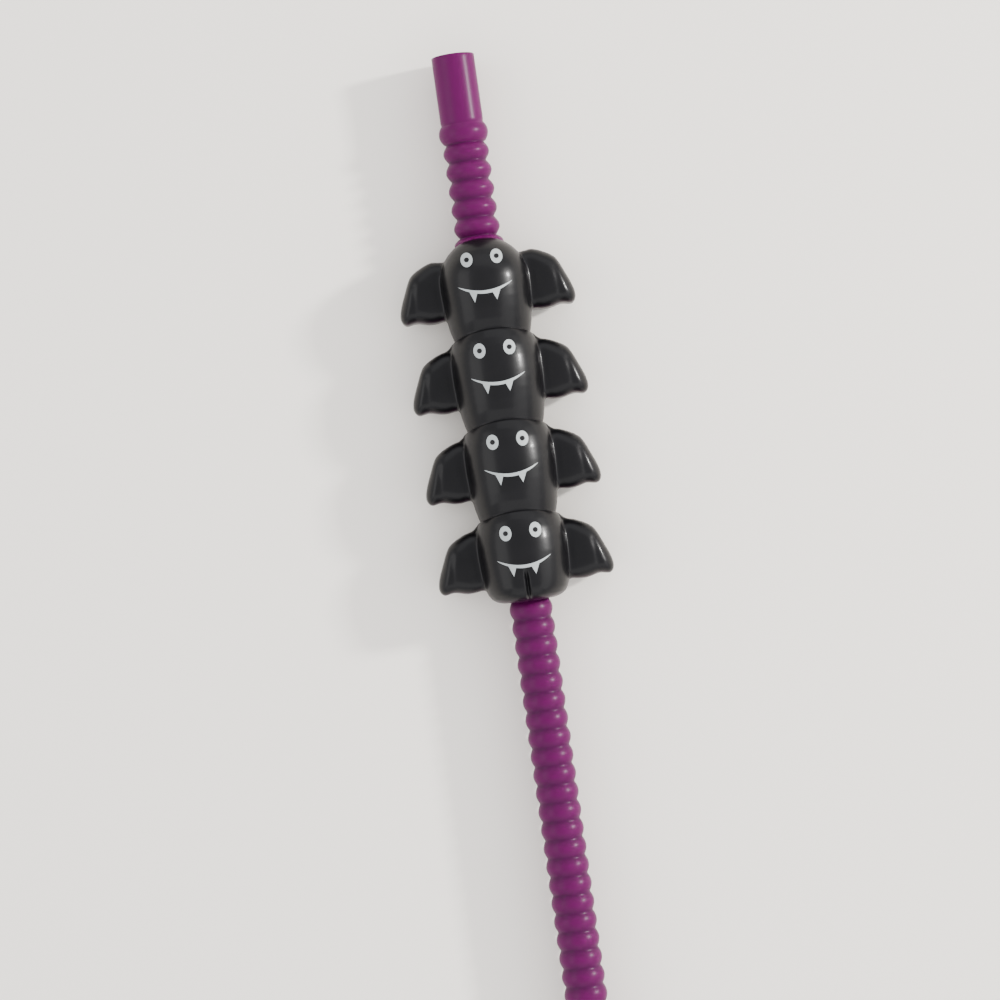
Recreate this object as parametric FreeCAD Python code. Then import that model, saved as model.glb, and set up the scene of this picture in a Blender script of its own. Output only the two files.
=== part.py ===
"""Blow-moulded party straw: one hollow piece, a corrugated tube that swells into a stack of four bats.

The straw lies on its back along Y with its mouth towards +Y and its faces up, and the flattened backs of the
bats touch z = 0. A station is a distance in millimetres measured down the straw from the rim of the mouth,
and a drop is a distance down from the seam above a bat. The cavity follows the outer form at the wall's
depth, but its bore stays plain behind the beads and ridges.
"""
import FreeCAD, Part
import math
import os
from FreeCAD import Vector

# Tube
wall = 0.5
tube_radius = 4.0
groove_radius = 3.4
total_length = 200.0
mouth_length = 12.6
foot_cuff_length = 12.6
cuff_taper_length = 1.0

# Bellows between the mouthpiece and the bats
big_bead_height = 3.7
big_bead_radius = 4.45
big_bead_rise = 1.1
big_bead_fall = 1.5
bead_count = 5
bead_pitch = 3.5
bead_crest_length = 1.75
bead_radius = 4.05
collar_groove_length = 0.6

# Corrugation below the bats
ridge_pitch = 3.43
ridge_crest_length = 1.65

# Bats: barrel-shaped heads one below the other, set forward of the tube and flattened at the back
bat_count = 4
bat_pitch = 16.8
shoulder_radius = 5.0
shoulder_height = 1.3
neck_foot_height = 0.9
head_radius = 8.4
head_drop = 8.0
head_forward = 1.8
back_flat_depth = 0.6
seam_radius = 7.8
cheek_radius = 8.25
cheek_drop = 2.6
dome_turn = 75.0
rump_length = 9.0
rump_turn = 50.0
chord_count = 3
rump_chord_count = 2

# Wings: a puffed flap on each side; its corners are (across from the axis, drop)
wing_corners = ((6.2, 3.2), (10.5, 3.4), (13.4, 5.0), (15.0, 8.2), (16.4, 11.4), (15.8, 14.0), (13.0, 13.5),
                (10.4, 14.3), (6.2, 13.8))
wing_back = 4.9
wing_front = 3.8

# Feet: two puffed lobes side by side under the lowest bat, with a cleft between them
foot_corners = ((0.35, 10.5), (7.7, 10.5), (7.8, 13.9), (7.0, 15.9), (5.2, 16.8), (1.9, 16.9), (0.35, 15.9))
foot_back = 2.0
foot_front = 9.0

puff = 1.7
stack_hollow_inset = 0.8
stack_hollow_top = 5.2
stack_hollow_foot = 11.8
wing_hollow_across = (5.0, 12.2)
wing_hollow_drops = (6.6, 11.8)
wing_hollow_back = 2.2
wing_hollow_front = 2.8

mouth_y = total_length / 2
axis_height = head_radius - head_forward - back_flat_depth
bellows_start = mouth_length + big_bead_height
stack_start = bellows_start + bead_count * bead_pitch + collar_groove_length
stack_end = stack_start + bat_count * bat_pitch


def profile_point(radius, station):
    """A point of a turned profile, in the plane that holds the tube's axis."""
    return Vector(radius, mouth_y - station, axis_height)


def turned_lines(outline):
    """Solid of revolution of straight lines through pairs of radius and station, closed on the tube's axis."""
    points = [profile_point(radius, station) for radius, station in outline]
    top_centre = profile_point(0, outline[0][1])
    foot_centre = profile_point(0, outline[-1][1])
    wire = Part.makePolygon([top_centre] + points + [foot_centre, top_centre])
    return Part.Face(wire).revolve(Vector(0, 0, axis_height), Vector(0, 1, 0), 360)


def beads(start, count, pitch, crest_radius, crest_length):
    """Even beads from one groove to the next: each a flank, a crest and a flank."""
    outline = []
    for bead in range(count):
        middle = start + (bead + 0.5) * pitch
        outline.append((crest_radius, middle - crest_length / 2))
        outline.append((crest_radius, middle + crest_length / 2))
        outline.append((groove_radius, middle + pitch / 2))
    return outline


def tube():
    """Mouthpiece, bellows, the core that joins the bats, and the ridges down to the plain cuff at the foot."""
    outline = [(tube_radius, 0), (tube_radius, mouth_length)]
    outline.append((big_bead_radius, mouth_length + big_bead_rise))
    outline.append((big_bead_radius, bellows_start - big_bead_fall))
    outline.append((groove_radius, bellows_start))
    outline += beads(bellows_start, bead_count, bead_pitch, bead_radius, bead_crest_length)
    outline.append((groove_radius, stack_start))
    outline.append((shoulder_radius, stack_start + shoulder_height))
    outline.append((shoulder_radius, stack_end - neck_foot_height))
    cuff_start = total_length - foot_cuff_length
    count = int((cuff_start - stack_end) / ridge_pitch)
    ridges_start = cuff_start - count * ridge_pitch
    outline.append((groove_radius, stack_end))
    outline.append((groove_radius, ridges_start))
    outline += beads(ridges_start, count, ridge_pitch, tube_radius, ridge_crest_length)
    outline.append((tube_radius, cuff_start + cuff_taper_length))
    outline.append((tube_radius, total_length))
    return turned_lines(outline)


def bore():
    """The way the drink goes: plain behind the beads and ridges, and wider at both ends and through the bats."""
    narrow = groove_radius - wall
    wide = tube_radius - wall
    neck = shoulder_radius - wall
    cuff_start = total_length - foot_cuff_length
    outline = [(wide, -1), (wide, mouth_length), (narrow, mouth_length + cuff_taper_length)]
    outline += [(narrow, stack_start + shoulder_height), (neck, stack_start + shoulder_height + wall)]
    outline += [(neck, stack_end - neck_foot_height - wall), (narrow, stack_end - neck_foot_height)]
    outline += [(narrow, cuff_start), (wide, cuff_start + cuff_taper_length), (wide, total_length + 1)]
    return turned_lines(outline)


def stack_outline():
    """Side of the stack in chords: a ball's dome, barrels with a pinch at each seam, and a rounded rump."""
    outline = []
    for step in range(chord_count):
        angle = math.radians(dome_turn * (1 - step / chord_count))
        ring = stack_start + head_drop
        outline.append((head_radius * math.cos(angle), ring - head_radius * math.sin(angle)))
    for bat in range(bat_count):
        seam = stack_start + bat * bat_pitch
        if bat > 0:
            outline.append((cheek_radius, seam - cheek_drop))
            outline.append((seam_radius, seam))
            outline.append((cheek_radius, seam + cheek_drop))
        outline.append((head_radius, seam + head_drop))
    for step in range(rump_chord_count):
        angle = math.radians(rump_turn * (step + 1) / rump_chord_count)
        outline.append((head_radius * math.cos(angle), seam + head_drop + rump_length * math.sin(angle)))
    return outline


def stack():
    """The four heads as one turned form, set forward of the tube, its back cut flat where it lies."""
    solid = turned_lines(stack_outline())
    solid.translate(Vector(0, 0, head_forward))
    below = Part.makeBox(4 * head_radius, total_length, head_radius)
    below.translate(Vector(-2 * head_radius, -mouth_y, -head_radius))
    return solid.cut(below)


def stack_hollow():
    """Hollow of the stack: a plain drum inside the four heads."""
    radius = seam_radius - stack_hollow_inset
    foot = stack_end - bat_pitch + stack_hollow_foot
    solid = turned_lines([(radius, stack_start + stack_hollow_top), (radius, foot)])
    solid.translate(Vector(0, 0, head_forward))
    return solid


def puffed(corners, side, seam, back, front):
    """A flap with blunt rims: its outline drawn on the back plane, pushed forward and chamfered all round."""
    points = [Vector(side * across, mouth_y - seam - drop, axis_height - back) for across, drop in corners]
    slab = Part.Face(Part.makePolygon(points + points[:1])).extrude(Vector(0, 0, back + front))
    rims = [edge for edge in slab.Edges if abs(edge.tangentAt(edge.FirstParameter).z) < 0.5]
    return slab.makeChamfer(puff, rims)


def wing_hollow(side, seam):
    """Hollow of a wing: a plain block that opens into the head."""
    inner, outer = wing_hollow_across
    upper, lower = wing_hollow_drops
    left = inner if side > 0 else -outer
    corner = Vector(left, mouth_y - seam - lower, axis_height - wing_hollow_back)
    return Part.makeBox(outer - inner, lower - upper, wing_hollow_back + wing_hollow_front, corner)


def bat_straw():
    outer = [tube(), stack()]
    hollow = [bore(), stack_hollow()]
    for bat in range(bat_count):
        seam = stack_start + bat * bat_pitch
        for side in (-1, 1):
            outer.append(puffed(wing_corners, side, seam, wing_back, wing_front))
            hollow.append(wing_hollow(side, seam))
            if bat == bat_count - 1:
                outer.append(puffed(foot_corners, side, seam, foot_back, foot_front))
    form = outer[0].multiFuse(outer[1:])
    cavity = hollow[0].multiFuse(hollow[1:])
    return form.cut(cavity)


os.makedirs("parts", exist_ok=True)
straw = bat_straw()
print("solids", len(straw.Solids), "valid", straw.isValid(), "volume mm3", round(straw.Volume, 1))
print("box", straw.BoundBox)
straw.exportStep("parts/bat_straw.step")
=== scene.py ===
import bpy, bmesh, math
from mathutils import Matrix, Vector
from mathutils.bvhtree import BVHTree


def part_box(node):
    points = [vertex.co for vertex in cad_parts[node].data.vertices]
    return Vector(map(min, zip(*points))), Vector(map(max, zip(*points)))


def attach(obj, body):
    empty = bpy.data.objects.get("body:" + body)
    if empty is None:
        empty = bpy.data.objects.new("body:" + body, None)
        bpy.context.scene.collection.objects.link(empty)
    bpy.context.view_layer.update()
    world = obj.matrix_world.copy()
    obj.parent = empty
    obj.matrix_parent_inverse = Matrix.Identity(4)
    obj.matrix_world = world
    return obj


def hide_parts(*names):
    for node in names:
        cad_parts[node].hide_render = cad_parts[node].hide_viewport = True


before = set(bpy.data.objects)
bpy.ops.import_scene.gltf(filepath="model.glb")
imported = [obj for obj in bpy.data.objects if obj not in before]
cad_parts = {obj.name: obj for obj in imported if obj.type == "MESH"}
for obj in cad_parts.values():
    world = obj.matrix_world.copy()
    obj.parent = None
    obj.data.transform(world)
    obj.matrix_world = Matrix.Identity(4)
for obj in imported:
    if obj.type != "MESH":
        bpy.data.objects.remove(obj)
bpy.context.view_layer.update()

# A bat party straw, blow-moulded in one piece of purple polyethylene, its four bats sprayed black and
# printed. Metres throughout. A station is a distance down the straw from the rim of its mouth, a drop is a
# distance down from the seam above a bat, "across" is sideways from the axis, "forward" is up to the faces.

mm = 0.001
strawLow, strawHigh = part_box("bat_straw")
mouthY = strawHigh.y
strawLength = strawHigh.y - strawLow.y

straw = {
    "axisHeight": 6.0 * mm,
    "wall": 0.45 * mm,
    "tubeRadius": 4.0 * mm,
    "grooveRadius": 3.4 * mm,
    "mouthLength": 12.6 * mm,
    "cuffLength": 12.6 * mm,
    "stackStart": 34.4 * mm,
    "batPitch": 16.8 * mm,
    "batCount": 4,
}
axisZ = straw["axisHeight"]
stackEnd = straw["stackStart"] + straw["batCount"] * straw["batPitch"]
mergeReach = 0.0001 * mm
poleReach = 0.001 * mm


def linearColour(hexCode):                                  # sRGB hex to linear RGBA
    channels = [int(hexCode[i:i + 2], 16) / 255 for i in (1, 3, 5)]
    return [c / 12.92 if c <= 0.04045 else ((c + 0.055) / 1.055) ** 2.4 for c in channels] + [1.0]


def addNode(material, kind, settings=None, links=None):     # one node, its settings, what feeds its inputs
    node = material.node_tree.nodes.new(kind)
    for name, value in (settings or {}).items():
        if isinstance(name, int) or name in node.inputs:
            node.inputs[name].default_value = value
        else:
            setattr(node, name, value)
    for name, source in (links or {}).items():
        material.node_tree.links.new(source, node.inputs[name])
    return node


def newMaterial(name):
    material = bpy.data.materials.new(name)
    material.use_nodes = True
    return material, addNode(material, "ShaderNodeTexCoord").outputs["Object"]


def setShader(material, settings, links=None):              # the shader's own numbers, what feeds the rest
    shader = material.node_tree.nodes["Principled BSDF"]
    for name, value in settings.items():
        shader.inputs[name].default_value = value
    for name, source in (links or {}).items():
        material.node_tree.links.new(source, shader.inputs[name])


def finishPiece(name, bm, material):
    bmesh.ops.remove_doubles(bm, verts=bm.verts, dist=mergeReach)
    bmesh.ops.recalc_face_normals(bm, faces=bm.faces)
    mesh = bpy.data.meshes.new(name)
    bm.to_mesh(mesh)
    bm.free()
    mesh.materials.append(material)
    for polygon in mesh.polygons:
        polygon.use_smooth = True
    piece = bpy.data.objects.new(name, mesh)
    bpy.context.scene.collection.objects.link(piece)
    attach(piece, "root")
    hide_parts("bat_straw")
    print("piece", name, len(mesh.polygons), "faces")
    return piece


def spunMesh(points, centre, axis, steps, closed=False):    # a row of points, turned once round an axis
    bm = bmesh.new()
    row = [bm.verts.new(point) for point in points]
    following = row[1:] + row[:1] if closed else row[1:]
    edges = [bm.edges.new(pair) for pair in zip(row, following)]
    bmesh.ops.spin(bm, geom=row + edges, cent=centre, axis=axis, angle=2 * math.pi, steps=steps,
                   use_merge=True)
    bmesh.ops.remove_doubles(bm, verts=bm.verts, dist=poleReach)
    return bm


def addMesh(bm, built):                                     # copies one built mesh into another and frees it
    keep = bpy.data.meshes.new("keep")
    built.to_mesh(keep)
    built.free()
    bm.from_mesh(keep)
    bpy.data.meshes.remove(keep)


def ramp(value, length):                                    # from 0 to 1 over a length, flat outside it
    return min(1.0, max(0.0, value / length))


# Purple polyethylene

polyethylene = {
    "crest": "#4F0341",
    # painted shade: the groove colour stands in for the shade that falls in the tube's grooves
    "groove": "#3C0233",
    "roughness": 0.38,
    "roughnessSpread": (-0.05, 0.07),
    "ior": 1.51,
    "specularLevel": 0.08,
    "coat": 0.07,
    "coatRoughness": 0.28,
    "milkiness": 0.35,
    "glowColour": (0.9, 0.35, 0.8),
    "glowReach": 1.2 * mm,
    "streakSpacing": 6 * mm,
    "streakStretch": 0.08,                                  # the noise's scale along the straw
    "streakShare": 0.35,
    "streakMiddle": 0.17,
    "dimpleSpacing": 0.35 * mm,
    "dimpleDepth": 0.03 * mm,
    "dimpleStrength": 0.12,
}


def makePolyethylene():
    # Low-density polyethylene, blow-moulded: milky purple that glows where it is thin, a waxy gloss, faint
    # flow streaks, fine dimples, and painted shade: a darker colour in the grooves than on the crests
    material, place = newMaterial("purple_polyethylene_blow_moulded")
    centred = addNode(material, "ShaderNodeMapping", {"Location": (0, 0, -axisZ)}, {"Vector": place})
    parts = addNode(material, "ShaderNodeSeparateXYZ", links={"Vector": centred.outputs["Vector"]})
    flat = addNode(material, "ShaderNodeCombineXYZ", links={"X": parts.outputs["X"], "Y": parts.outputs["Z"]})
    radius = addNode(material, "ShaderNodeVectorMath", {"operation": "LENGTH"}, {0: flat.outputs["Vector"]})
    # painted shade mask: 0 at the groove radius, 1 at the crest radius, sets how dark the purple is
    height = addNode(material, "ShaderNodeMapRange",
                     {"From Min": straw["grooveRadius"], "From Max": straw["tubeRadius"]},
                     {"Value": radius.outputs["Value"]})
    stretched = addNode(material, "ShaderNodeMapping", {"Scale": (1, polyethylene["streakStretch"], 1)},
                        {"Vector": centred.outputs["Vector"]})
    streak = addNode(material, "ShaderNodeTexNoise",
                     {"Scale": 1 / polyethylene["streakSpacing"], "Detail": 3.0, "Roughness": 0.55},
                     {"Vector": stretched.outputs["Vector"]})
    tone = addNode(material, "ShaderNodeMath", {"operation": "MULTIPLY_ADD", 1: polyethylene["streakShare"]},
                   {0: streak.outputs["Fac"], 2: height.outputs["Result"]})
    lowered = addNode(material, "ShaderNodeMath", {"operation": "SUBTRACT", 1: polyethylene["streakMiddle"]},
                      {0: tone.outputs["Value"]})
    colour = addNode(material, "ShaderNodeMix",
                     {"data_type": "RGBA", 6: linearColour(polyethylene["groove"]),
                      7: linearColour(polyethylene["crest"])},
                     {"Factor": lowered.outputs["Value"]})
    dimples = addNode(material, "ShaderNodeTexNoise",
                      {"Scale": 1 / polyethylene["dimpleSpacing"], "Detail": 2.0, "Roughness": 0.5},
                      {"Vector": centred.outputs["Vector"]})
    bump = addNode(material, "ShaderNodeBump",
                   {"Strength": polyethylene["dimpleStrength"], "Distance": polyethylene["dimpleDepth"]},
                   {"Height": dimples.outputs["Fac"]})
    smoothest, dullest = [polyethylene["roughness"] + part for part in polyethylene["roughnessSpread"]]
    gloss = addNode(material, "ShaderNodeMapRange", {"To Min": smoothest, "To Max": dullest},
                    {"Value": streak.outputs["Fac"]})
    setShader(material,
              {"IOR": polyethylene["ior"],
               "Subsurface Weight": polyethylene["milkiness"],
               "Subsurface Radius": polyethylene["glowColour"],
               "Subsurface Scale": polyethylene["glowReach"],
               "Specular IOR Level": polyethylene["specularLevel"],
               "Coat Weight": polyethylene["coat"],
               "Coat Roughness": polyethylene["coatRoughness"]},
              {"Base Color": colour.outputs[2], "Roughness": gloss.outputs["Result"],
               "Normal": bump.outputs["Normal"]})
    return material


# Black spray paint

paint = {
    "black": "#09090A",
    "bloom": "#111012",
    "fadeStart": stackEnd - 0.9 * mm,
    "fadeEnd": stackEnd + 0.6 * mm,
    "fadeMask": (0.35, 0.9),
    "raggedness": 0.5,
    "roughness": 0.31,
    "roughnessSpread": (-0.05, 0.08),
    "ior": 1.5,
    "specularLevel": 0.12,
    "coat": 0.1,
    "coatRoughness": 0.15,
    "cloudSpacing": 4 * mm,
    "speckSpacing": 0.16 * mm,
    "peelSpacing": 0.9 * mm,
    "peelDepth": 0.08 * mm,
    "peelStrength": 0.1,
}


def makePaint():
    # Gloss black lacquer sprayed on the polyethylene: soft orange peel, a faint bloom, and a specky edge
    # where the spray runs out and the purple shows through
    material, place = newMaterial("black_lacquer_sprayed")
    parts = addNode(material, "ShaderNodeSeparateXYZ", links={"Vector": place})
    cloud = addNode(material, "ShaderNodeTexNoise",
                    {"Scale": 1 / paint["cloudSpacing"], "Detail": 4.0, "Roughness": 0.6}, {"Vector": place})
    speck = addNode(material, "ShaderNodeTexNoise", {"Scale": 1 / paint["speckSpacing"], "Detail": 2.0},
                    {"Vector": place})
    tone = addNode(material, "ShaderNodeMix",
                   {"data_type": "RGBA", 6: linearColour(paint["black"]), 7: linearColour(paint["bloom"])},
                   {"Factor": cloud.outputs["Fac"]})
    bare = addNode(material, "ShaderNodeMapRange",
                   {"From Min": mouthY - paint["fadeStart"], "From Max": mouthY - paint["fadeEnd"],
                    "To Min": 0.0, "To Max": 1.0},
                   {"Value": parts.outputs["Y"]})
    ragged = addNode(material, "ShaderNodeMath",
                     {"operation": "MULTIPLY_ADD", 1: paint["raggedness"], 2: -paint["raggedness"] / 2},
                     {0: speck.outputs["Fac"]})
    thin = addNode(material, "ShaderNodeAttribute", {"attribute_name": "thin_paint"})
    worn = addNode(material, "ShaderNodeMath", {"operation": "MAXIMUM"},
                   {0: bare.outputs["Result"], 1: thin.outputs["Fac"]})
    edge = addNode(material, "ShaderNodeMath", {"operation": "ADD", "use_clamp": True},
                   {0: worn.outputs["Value"], 1: ragged.outputs["Value"]})
    covered, uncovered = paint["fadeMask"]
    mask = addNode(material, "ShaderNodeMapRange",
                   {"From Min": covered, "From Max": uncovered, "interpolation_type": "SMOOTHSTEP"},
                   {"Value": edge.outputs["Value"]})
    # where the paint is bare or thin the purple shown is the groove colour, which holds painted shade
    colour = addNode(material, "ShaderNodeMix",
                     {"data_type": "RGBA", 7: linearColour(polyethylene["groove"])},
                     {"Factor": mask.outputs["Result"], 6: tone.outputs[2]})
    peel = addNode(material, "ShaderNodeTexNoise", {"Scale": 1 / paint["peelSpacing"], "Detail": 1.5},
                   {"Vector": place})
    bump = addNode(material, "ShaderNodeBump",
                   {"Strength": paint["peelStrength"], "Distance": paint["peelDepth"]},
                   {"Height": peel.outputs["Fac"]})
    smoothest, dullest = [paint["roughness"] + part for part in paint["roughnessSpread"]]
    gloss = addNode(material, "ShaderNodeMapRange", {"To Min": smoothest, "To Max": dullest},
                    {"Value": cloud.outputs["Fac"]})
    setShader(material,
              {"IOR": paint["ior"],
               "Specular IOR Level": paint["specularLevel"],
               "Coat Weight": paint["coat"],
               "Coat Roughness": paint["coatRoughness"]},
              {"Base Color": colour.outputs[2], "Roughness": gloss.outputs["Result"],
               "Normal": bump.outputs["Normal"]})
    return material


# White pad-printing ink

ink = {
    "white": "#A6ABAA",
    "thin": "#8A9090",
    "roughness": 0.45,
    "grainSpacing": 0.3 * mm,
    "grainDepth": 0.01 * mm,
    "grainStrength": 0.1,
}


def makeInk():
    # Pad-printed ink: an off-white that lets a little of the black through, a fine grain, half matt
    material, place = newMaterial("white_ink_pad_printed")
    grain = addNode(material, "ShaderNodeTexNoise", {"Scale": 1 / ink["grainSpacing"], "Detail": 3.0},
                    {"Vector": place})
    colour = addNode(material, "ShaderNodeMix",
                     {"data_type": "RGBA", 6: linearColour(ink["thin"]), 7: linearColour(ink["white"])},
                     {"Factor": grain.outputs["Fac"]})
    bump = addNode(material, "ShaderNodeBump",
                   {"Strength": ink["grainStrength"], "Distance": ink["grainDepth"]},
                   {"Height": grain.outputs["Fac"]})
    setShader(material, {"Roughness": ink["roughness"]},
              {"Base Color": colour.outputs[2], "Normal": bump.outputs["Normal"]})
    return material


purplePolyethylene = makePolyethylene()
blackLacquer = makePaint()
whiteInk = makeInk()
print("materials made")


# Tube: mouthpiece and bellows above the bats, corrugated tube and cuff below them

bellows = {
    "ringSpacing": 0.42 * mm,                               # fine rings that the mould leaves
    "ringDepth": 0.035 * mm,
    "ringsEnd": 0.4 * mm,
    "lipRadius": 0.12 * mm,
    "bigBead": {"height": 3.7 * mm, "radius": 4.58 * mm, "groove": 3.7 * mm, "roundness": 0.7, "points": 14},
    "beadCount": 5,
    "bead": {"height": 3.5 * mm, "radius": 4.26 * mm, "groove": 3.4 * mm, "roundness": 1.05, "points": 16},
    "collarRadius": 4.6 * mm,
    "collarLength": 1.3 * mm,
    "collarCurve": 0.8,
    "collarSteps": 8,
    "collarOverlap": 1.2 * mm,                              # how far the collar goes on inside the first bat
}
corrugation = {
    "ridge": {"height": 3.43 * mm, "radius": 4.0 * mm, "groove": 3.4 * mm, "roundness": 0.85, "points": 12},
    "overlap": 2.2 * mm,                                    # how far the tube goes on inside the lowest bat
    "neckEnd": 0.05 * mm,
    "cuffRise": ((0.35 * mm, 0.3 * mm), (0.6 * mm, 1.0 * mm)),
}
turningSteps = 88


def turnedShell(outline, name):                             # outline: (radius, station) of the outer wall
    inner = [(radius - straw["wall"], station) for radius, station in reversed(outline)]
    points = [(radius, mouthY - station, axisZ) for radius, station in outline + inner]
    shell = spunMesh(points, (0, 0, axisZ), (0, 1, 0), turningSteps, closed=True)
    return finishPiece(name, shell, purplePolyethylene)


def beadCurve(start, bead):                                 # from groove to groove, a sine to a power
    curve = []
    for point in range(bead["points"]):
        share = (point + 0.5) / bead["points"]
        swell = math.sin(math.pi * share) ** bead["roundness"]
        radius = bead["groove"] + (bead["radius"] - bead["groove"]) * swell
        curve.append((radius, start + bead["height"] * share))
    return curve


def topOutline():
    outline = [(straw["tubeRadius"] - bellows["lipRadius"], 0.0), (straw["tubeRadius"], bellows["lipRadius"])]
    station = bellows["lipRadius"] + bellows["ringSpacing"]
    while station < straw["mouthLength"] - bellows["ringsEnd"]:
        outline.append((straw["tubeRadius"] - bellows["ringDepth"], station))
        outline.append((straw["tubeRadius"], station + bellows["ringSpacing"] / 2))
        station += bellows["ringSpacing"]
    outline += beadCurve(straw["mouthLength"], bellows["bigBead"])
    station = straw["mouthLength"] + bellows["bigBead"]["height"]
    for bead in range(bellows["beadCount"]):
        outline += beadCurve(station, bellows["bead"])
        station += bellows["bead"]["height"]
    flare = bellows["collarRadius"] - straw["grooveRadius"]
    for step in range(bellows["collarSteps"] + 1):          # the collar flares into the first bat
        share = step / bellows["collarSteps"]
        radius = straw["grooveRadius"] + flare * math.sin(share * math.pi / 2) ** bellows["collarCurve"]
        outline.append((radius, station + bellows["collarLength"] * share))
    outline.append((bellows["collarRadius"], station + bellows["collarLength"] + bellows["collarOverlap"]))
    return outline


def footOutline():
    ridge = corrugation["ridge"]
    cuffStart = strawLength - straw["cuffLength"]
    count = int((cuffStart - stackEnd) / ridge["height"])
    firstRidge = cuffStart - count * ridge["height"]
    outline = [(straw["grooveRadius"], stackEnd - corrugation["overlap"]),
               (straw["grooveRadius"], firstRidge - corrugation["neckEnd"])]
    for number in range(count):
        outline += beadCurve(firstRidge + number * ridge["height"], ridge)
    outline.append((straw["grooveRadius"], cuffStart))
    for rise, along in corrugation["cuffRise"]:
        outline.append((straw["grooveRadius"] + rise, cuffStart + along))
    outline.append((straw["tubeRadius"], strawLength - bellows["lipRadius"]))
    outline.append((straw["tubeRadius"] - bellows["lipRadius"], strawLength))
    return outline


turnedShell(topOutline(), "mouthpiece_and_bellows")
turnedShell(footOutline(), "corrugated_tube")


# Bats: a turned body, a puffed wing and a web on each side and the lowest one's feet, melted into one skin

bats = {
    "headRadius": 8.35 * mm,
    "headDrop": 8.0 * mm,
    "headForward": 1.8 * mm,
    "domeHeight": 8.4 * mm,
    "rumpLength": 9.4 * mm,
    "turningSteps": 96,
    "longestEdge": 2 * mm,                                  # longer ones are halved before a seam is shaped
    "seamArch": 0.026,                                      # a seam's drop beside the axis, per mm squared
    "archReach": 5.0 * mm,
    "frontPinch": 0.07,                                     # share by which the front sinks at a seam
    "pinchReach": 7.0 * mm,
    "voxel": 0.2 * mm,
    "smoothing": 10,
    "flapReach": 7.8 * mm,                                  # the wings beyond this get softer rims
    "flapSmoothing": 28,
}
# Outlines in millimetres: (radius, drop) for what is turned, (across, drop) round a panel
crownOutline = ((0.0, 0.0), (6.8, 0.0), (7.1, 0.08), (7.32, 0.28), (7.5, 0.7), (7.78, 1.7), (8.08, 3.4),
                (8.28, 5.6))
chinOutline = ((8.32, 9.6), (8.2, 11.4), (7.98, 13.2), (7.64, 15.0), (7.3, 16.2), (7.06, 16.9), (6.9, 17.8),
               (6.9, 19.6), (0.0, 19.6))
feetOutline = ((0.0, 8.0), (8.3, 8.0), (8.28, 9.6), (8.15, 11.2), (7.98, 12.8), (7.75, 14.1), (7.4, 15.1),
               (6.8, 15.95), (6.0, 16.5), (5.0, 16.8), (3.6, 16.88), (0.0, 16.88))
wingOutline = ((5.0, 3.6), (8.3, 3.1), (9.2, 2.9), (10.3, 3.2), (11.5, 3.75), (12.6, 4.35), (13.6, 5.15),
               (14.35, 6.6), (15.05, 8.3), (15.75, 9.9), (16.25, 11.4), (16.4, 12.6), (16.1, 13.6),
               (15.4, 14.05), (14.4, 13.8), (13.5, 13.6), (12.4, 13.95), (11.2, 14.25), (9.8, 14.25),
               (8.2, 13.95), (5.0, 13.4))
webOutline = ((5.0, 1.5), (7.5, 1.6), (8.0, 2.2), (8.9, 3.0), (10.3, 3.9), (10.6, 6.0), (5.0, 6.0))
panels = (                                                  # the web fills the corner above a wing
    {"outline": wingOutline, "back": 4.9 * mm, "front": 3.4 * mm, "rim": 2.2 * mm, "firstBat": 0},
    {"outline": webOutline, "back": 3.4 * mm, "front": 1.6 * mm, "rim": 0.8 * mm, "firstBat": 1},
)
rimSegments = 6
feetBack = 2.0 * mm
pillow = {                                                  # the swollen middle of a wing's front
    "start": 1 * mm,
    "across": 12.2 * mm,
    "halfWidth": 4.5 * mm,
    "drop": 9.0 * mm,
    "halfLength": 5.6 * mm,
    "height": 1.0 * mm,
    "curve": 1.5,
}
groove = {                                                  # a shallow groove down the front of a wing
    "across": 13.3 * mm,
    "slope": 0.1,
    "width": 0.6 * mm,
    "depth": 0.16 * mm,
    "drops": (5.6 * mm, 13.2 * mm),
    "ends": 1.5 * mm,
}
cleft = {                                                   # between the two feet
    "start": 10.2 * mm,
    "ramp": 2.2 * mm,
    "depth": 0.8 * mm,
    "width": 0.3 * mm,
    "dip": 0.35 * mm,
    "dipWidth": 1.6 * mm,
}
thinning = {                                                # where the spray hardly reaches
    "collarDrop": 2 * mm,
    "collarRadius": 5.6 * mm,
    "collarFade": 1.3 * mm,
    "hemDrop": 12 * mm,
    "hemShare": 0.5,
    "hemTurn": 0.3,                                         # a hem turned this far down the straw thins
    "hemFade": 0.6,
}


def bodyOutline(bat):                                       # (radius, drop) in metres, from the top down
    quarter = [math.radians(angle) for angle in range(90, -1, -6)]
    if bat == 0:
        top = [(bats["headRadius"] * math.cos(angle), bats["headDrop"] - bats["domeHeight"] * math.sin(angle))
               for angle in quarter]
    else:
        top = [(radius * mm, drop * mm) for radius, drop in crownOutline]
        top.append((bats["headRadius"], bats["headDrop"]))
    if bat == straw["batCount"] - 1:
        low = [(bats["headRadius"] * math.cos(angle), bats["headDrop"] + bats["rumpLength"] * math.sin(angle))
               for angle in reversed(quarter)]
    else:
        low = [(radius * mm, drop * mm) for radius, drop in chinOutline]
    return top + low


def turnedBody(outline, seam):                              # round the heads' axis, forward of the tube's
    axisForward = axisZ + bats["headForward"]
    points = [(radius, mouthY - seam - drop, axisForward) for radius, drop in outline]
    return spunMesh(points, (0, 0, axisForward), (0, 1, 0), bats["turningSteps"])


def shapedSeam(vert, seamY):                                # lower at the sides, and sunk in front
    offset = abs(vert.co.y - seamY)
    if vert.co.z > axisZ:
        vert.co.z -= (vert.co.z - axisZ) * bats["frontPinch"] * max(0.0, 1 - offset / bats["pinchReach"]) ** 2
    vert.co.y -= bats["seamArch"] / mm * vert.co.x ** 2 * max(0.0, 1 - offset / bats["archReach"])


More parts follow.
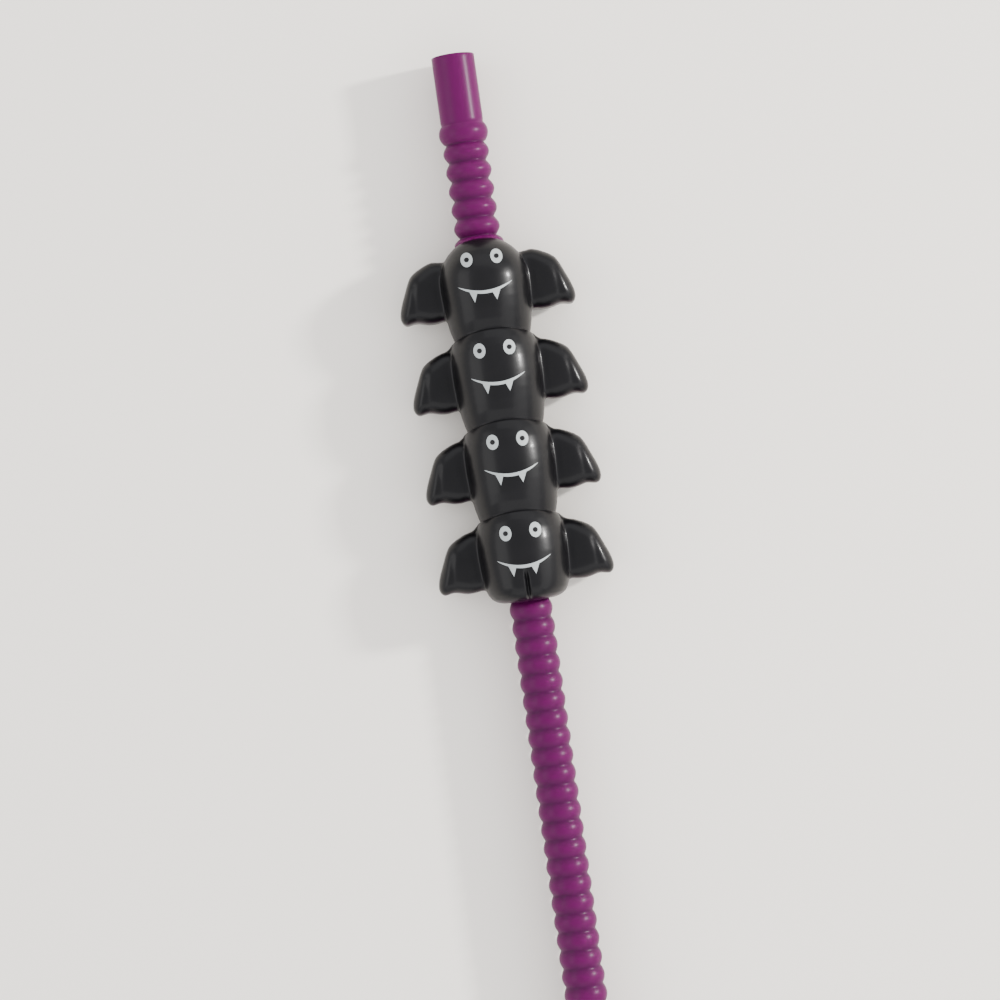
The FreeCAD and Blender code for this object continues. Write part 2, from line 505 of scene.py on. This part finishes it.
def addBody(bm, bat, seam):
    body = turnedBody(bodyOutline(bat), seam)
    longEdges = [edge for edge in body.edges if edge.calc_length() > bats["longestEdge"]]
    bmesh.ops.subdivide_edges(body, edges=longEdges, cuts=1)
    middleY = mouthY - seam - bats["headDrop"]
    for vert in body.verts:
        if bat > 0 and vert.co.y > middleY:
            shapedSeam(vert, mouthY - seam)
        elif bat < straw["batCount"] - 1 and vert.co.y < middleY:
            shapedSeam(vert, mouthY - seam - straw["batPitch"])
    bmesh.ops.recalc_face_normals(body, faces=body.faces)
    addMesh(bm, body)


def addFeet(bm, seam):                                      # the belly runs on into them; their back is flat
    feet = turnedBody([(radius * mm, drop * mm) for radius, drop in feetOutline], seam)
    bmesh.ops.recalc_face_normals(feet, faces=feet.faces)
    for vert in feet.verts:
        vert.co.z = max(vert.co.z, axisZ - feetBack)
    addMesh(bm, feet)


def addPanel(bm, panel, side, seam):                        # outline pushed forward, its rims rounded
    slab = bmesh.new()
    corners = [slab.verts.new((side * across * mm, mouthY - seam - drop * mm, axisZ - panel["back"]))
               for across, drop in panel["outline"]]
    outlineFace = slab.faces.new(corners)
    pushed = bmesh.ops.extrude_face_region(slab, geom=[outlineFace])
    moved = [item for item in pushed["geom"] if isinstance(item, bmesh.types.BMVert)]
    bmesh.ops.translate(slab, verts=moved, vec=(0, 0, panel["back"] + panel["front"]))
    rims = [edge for edge in slab.edges if abs(edge.verts[0].co.z - edge.verts[1].co.z) < poleReach]
    bmesh.ops.bevel(slab, geom=rims, offset=panel["rim"], affect="EDGES", segments=rimSegments, profile=0.5,
                    material=-1)
    bmesh.ops.recalc_face_normals(slab, faces=slab.faces)
    addMesh(bm, slab)


def meltedSkin(bm, name):                                   # one smooth skin round everything in bm
    rough = bpy.data.meshes.new(name)
    bm.to_mesh(rough)
    bm.free()
    holder = bpy.data.objects.new(name, rough)
    bpy.context.scene.collection.objects.link(holder)
    melt = holder.modifiers.new("melt", "REMESH")
    melt.mode = "VOXEL"
    melt.voxel_size = bats["voxel"]
    melt.adaptivity = 0.0
    smooth = holder.modifiers.new("smooth", "SMOOTH")
    smooth.factor = 0.5
    smooth.iterations = bats["smoothing"]
    graph = bpy.context.evaluated_depsgraph_get()
    melted = bpy.data.meshes.new_from_object(holder.evaluated_get(graph))
    bpy.data.objects.remove(holder)
    skin = bmesh.new()
    skin.from_mesh(melted)
    bpy.data.meshes.remove(melted)
    return skin


def pillowHeight(vert, drop):                               # how far the front of a wing swells
    across = 1 - ((abs(vert.co.x) - pillow["across"]) / pillow["halfWidth"]) ** 2
    along = 1 - ((drop - pillow["drop"]) / pillow["halfLength"]) ** 2
    return pillow["height"] * max(0.0, across) ** pillow["curve"] * max(0.0, along) ** pillow["curve"]


def grooveDepth(vert, drop):
    first, last = groove["drops"]
    across = groove["across"] + groove["slope"] * (drop - (first + last) / 2)
    near = math.exp(-((abs(vert.co.x) - across) / groove["width"]) ** 2)
    return groove["depth"] * near * ramp(drop - first, groove["ends"]) * ramp(last - drop, groove["ends"])


def cleftDepth(vert, drop):                                 # a narrow cut in the middle of a wide dip
    near = cleft["depth"] * math.exp(-(vert.co.x / cleft["width"]) ** 2)
    near += cleft["dip"] * math.exp(-(vert.co.x / cleft["dipWidth"]) ** 2)
    return near * ramp(drop - cleft["start"], cleft["ramp"])


def thinPaint(bat, vert, drop):                             # how bare it is: by the collar, under hems
    if bat == 0 and drop < thinning["collarDrop"]:
        reach = math.hypot(vert.co.x, vert.co.z - axisZ)
        return ramp(thinning["collarRadius"] - reach, thinning["collarFade"])
    if drop > thinning["hemDrop"]:
        return thinning["hemShare"] * ramp(-vert.normal.y - thinning["hemTurn"], thinning["hemFade"])
    return 0.0


def makeBat(bat):
    bm = bmesh.new()
    seam = straw["stackStart"] + bat * straw["batPitch"]
    lowest = bat == straw["batCount"] - 1
    addBody(bm, bat, seam)
    for side in (-1, 1):
        for panel in panels:
            if bat >= panel["firstBat"]:
                addPanel(bm, panel, side, seam)
    if lowest:
        addFeet(bm, seam)
    skin = meltedSkin(bm, "bat_rough")
    flaps = [vert for vert in skin.verts if abs(vert.co.x) > bats["flapReach"]]
    for step in range(bats["flapSmoothing"]):
        bmesh.ops.smooth_vert(skin, verts=flaps, factor=0.5, use_axis_x=True, use_axis_y=True,
                              use_axis_z=True)
    thin = skin.verts.layers.float.new("thin_paint")
    skin.normal_update()
    for vert in skin.verts:
        vert.co.z = max(vert.co.z, 0.0)                     # the back is flat where the straw lies
        drop = mouthY - seam - vert.co.y
        vert[thin] = thinPaint(bat, vert, drop)
        if vert.co.z > axisZ + pillow["start"]:
            vert.co.z += pillowHeight(vert, drop)
            vert.co.z -= grooveDepth(vert, drop)
        if lowest and vert.co.z > axisZ:
            vert.co.z -= cleftDepth(vert, drop)
    return finishPiece("bat_" + str(bat + 1), skin, blackLacquer)


allSkins = bmesh.new()
for bat in range(straw["batCount"]):
    allSkins.from_mesh(makeBat(bat).data)
skinTree = BVHTree.FromBMesh(allSkins)


# Printed faces: flat shapes laid on the skin

face = {
    "eyeDrop": 4.0 * mm,
    "eyeSpacing": 5.5 * mm,
    "eyeSize": (2.2 * mm, 2.78 * mm),
    "pupilSize": (0.92 * mm, 0.92 * mm),
    "eyeRings": 5,
    "pupilRings": 2,
    "ovalSteps": 40,
    "smileWidth": 9.9 * mm,
    "smileSag": 1.55 * mm,
    "smileEnds": 4.8 * mm,
    "smileThickness": 0.6 * mm,
    "smileTaper": 0.6,
    "smileThinnest": 0.06,                                  # share of the thickness left at the corners
    "smileSteps": 40,
    "fangs": ((-2.28 * mm, 1.5 * mm, 2.0 * mm), (1.8 * mm, 1.65 * mm, 1.85 * mm)),   # across, width, height
    "fangSteps": 6,
    "lift": 0.03 * mm,
    "rayStart": 50 * mm,
}


def layOnSkin(bm, lift):                                    # drops every point onto the bats from the front
    for vert in bm.verts:
        hit = skinTree.ray_cast(Vector((vert.co.x, vert.co.y, face["rayStart"])), Vector((0, 0, -1)))[0]
        if hit:
            vert.co.z = hit.z + lift


def addOval(bm, centre, size, rings):                       # a disc of rings that can bend over the head
    spoke = [(ring / rings, 0, 0) for ring in range(rings + 1)]
    disc = spunMesh(spoke, (0, 0, 0), (0, 0, 1), face["ovalSteps"])
    bmesh.ops.scale(disc, verts=disc.verts, vec=(size[0] / 2, size[1] / 2, 1))
    bmesh.ops.translate(disc, verts=disc.verts, vec=(centre[0], centre[1], 0))
    addMesh(bm, disc)


def smileLine(across):                                      # y of the smile's middle, down from the eyes
    share = across / (face["smileWidth"] / 2)
    return -face["smileEnds"] - face["smileSag"] * (1 - share * share)


def addSmile(bm, eyeY):                                     # a strip bent and thinned to its corners
    strip = bmesh.ops.create_grid(bm, x_segments=face["smileSteps"], y_segments=2, size=1)["verts"]
    for vert in strip:
        across = vert.co.x * face["smileWidth"] / 2
        taper = max(0.0, 1 - vert.co.x ** 2) ** face["smileTaper"]
        half = face["smileThickness"] / 2 * max(face["smileThinnest"], taper)
        vert.co = (across, eyeY + smileLine(across) + half * vert.co.y, 0)


def addFang(bm, eyeY, across, width, height):               # a strip drawn to a point below the smile
    top = eyeY + smileLine(across)
    strip = bmesh.ops.create_grid(bm, x_segments=2, y_segments=face["fangSteps"], size=1)["verts"]
    for vert in strip:
        share = (1 - vert.co.y) / 2
        vert.co = (across + vert.co.x * width / 2 * (1 - share), top - height * share, 0)


def makeFaces():
    white = bmesh.new()
    black = bmesh.new()
    for bat in range(straw["batCount"]):
        eyeY = mouthY - straw["stackStart"] - bat * straw["batPitch"] - face["eyeDrop"]
        for side in (-1, 1):
            centre = (side * face["eyeSpacing"] / 2, eyeY)
            addOval(white, centre, face["eyeSize"], face["eyeRings"])
            addOval(black, centre, face["pupilSize"], face["pupilRings"])
        addSmile(white, eyeY)
        for across, width, height in face["fangs"]:
            addFang(white, eyeY, across, width, height)
    layOnSkin(white, face["lift"])
    layOnSkin(black, face["lift"] * 2)
    finishPiece("printed_faces", white, whiteInk)
    finishPiece("printed_pupils", black, blackLacquer)


makeFaces()


# Floor, light and camera

floorSheet = {"halfWidth": 2.5, "colour": "#F3EDE4", "roughness": 0.9}
view = {
    "pixelsPerMm": 5.40,                                    # photograph's scale at the straw
    "pictureWidth": 1000,
    "axisAtMiddle": 515.6,                                  # column of the straw's axis on the middle row
    "middleStation": 83.0 * mm,
    "lean": math.radians(8.1),                              # the mouth leans left
    "distance": 550 * mm,
    "sensorWidth": 36,
    "clipStart": 10 * mm,
}
lamps = {                                                   # towards: right and up in the picture, and up
    "key": {"towards": (0.9, 0.33, 0.46), "distance": 0.9, "size": (0.07, 0.07), "power": 13.0,
            "colour": (1.0, 0.985, 0.96)},
    "window": {"towards": (0.1, 1.0, 0.7), "distance": 1.7, "size": (2.0, 1.0), "power": 7.0,
               "colour": (0.98, 0.99, 1.0)},
    "left_wall": {"towards": (-1.0, -0.1, 0.7), "distance": 1.7, "size": (2.0, 1.0), "power": 15.0,
                  "colour": (1.0, 0.99, 0.97)},
    "right_wall": {"towards": (1.0, -0.2, 0.7), "distance": 1.7, "size": (2.0, 1.0), "power": 12.0,
                   "colour": (1.0, 0.99, 0.97)},
    "near_wall": {"towards": (0.0, -1.0, 0.7), "distance": 1.7, "size": (2.0, 1.0), "power": 8.0,
                  "colour": (1.0, 0.99, 0.97)},
}
room = {"colour": (0.95, 0.96, 1.0, 1), "strength": 1.45}


def makeFloor():                                            # matt white paper, a little warm
    bm = bmesh.new()
    bmesh.ops.create_grid(bm, x_segments=1, y_segments=1, size=floorSheet["halfWidth"])
    mesh = bpy.data.meshes.new("floor")
    bm.to_mesh(mesh)
    bm.free()
    material = newMaterial("white_paper_matt")[0]
    setShader(material, {"Base Color": linearColour(floorSheet["colour"]),
                         "Roughness": floorSheet["roughness"]})
    mesh.materials.append(material)
    floor = bpy.data.objects.new("floor", mesh)
    bpy.context.scene.collection.objects.link(floor)


makeFloor()
photoRight = Vector((math.cos(view["lean"]), -math.sin(view["lean"]), 0))
photoUp = Vector((math.sin(view["lean"]), math.cos(view["lean"]), 0))
lookAt = Vector((0, mouthY - view["middleStation"], axisZ))
lookAt -= photoRight * ((view["axisAtMiddle"] - view["pictureWidth"] / 2) / view["pixelsPerMm"] * mm)


def makeCamera():                                           # straight above the straw, turned by its lean
    camera = bpy.data.cameras.new("camera")
    camera.sensor_fit = "HORIZONTAL"
    camera.sensor_width = view["sensorWidth"]
    camera.lens = view["sensorWidth"] * view["distance"] / (view["pictureWidth"] / view["pixelsPerMm"] * mm)
    camera.clip_start = view["clipStart"]
    holder = bpy.data.objects.new("camera", camera)
    holder.matrix_world = Matrix((
        (photoRight.x, photoUp.x, 0, lookAt.x),
        (photoRight.y, photoUp.y, 0, lookAt.y),
        (0, 0, 1, lookAt.z + view["distance"]),
        (0, 0, 0, 1)))
    bpy.context.scene.collection.objects.link(holder)
    bpy.context.scene.camera = holder


def addLamp(name, settings):                                # a soft panel that faces the straw's middle
    across, along, up = settings["towards"]
    direction = (photoRight * across + photoUp * along + Vector((0, 0, up))).normalized()
    place = lookAt + direction * settings["distance"]
    lamp = bpy.data.lights.new(name, "AREA")
    lamp.shape = "RECTANGLE"
    lamp.size, lamp.size_y = settings["size"]
    lamp.energy = settings["power"]
    lamp.color = settings["colour"]
    holder = bpy.data.objects.new(name, lamp)
    holder.location = place
    holder.rotation_euler = (lookAt - place).to_track_quat("-Z", "Y").to_euler()
    bpy.context.scene.collection.objects.link(holder)


def makeRoom():
    world = bpy.data.worlds.new("room")
    world.use_nodes = True
    background = world.node_tree.nodes["Background"]
    background.inputs["Color"].default_value = room["colour"]
    background.inputs["Strength"].default_value = room["strength"]
    bpy.context.scene.world = world


makeCamera()
for name, settings in lamps.items():
    addLamp(name, settings)
makeRoom()
print("camera and lights set")
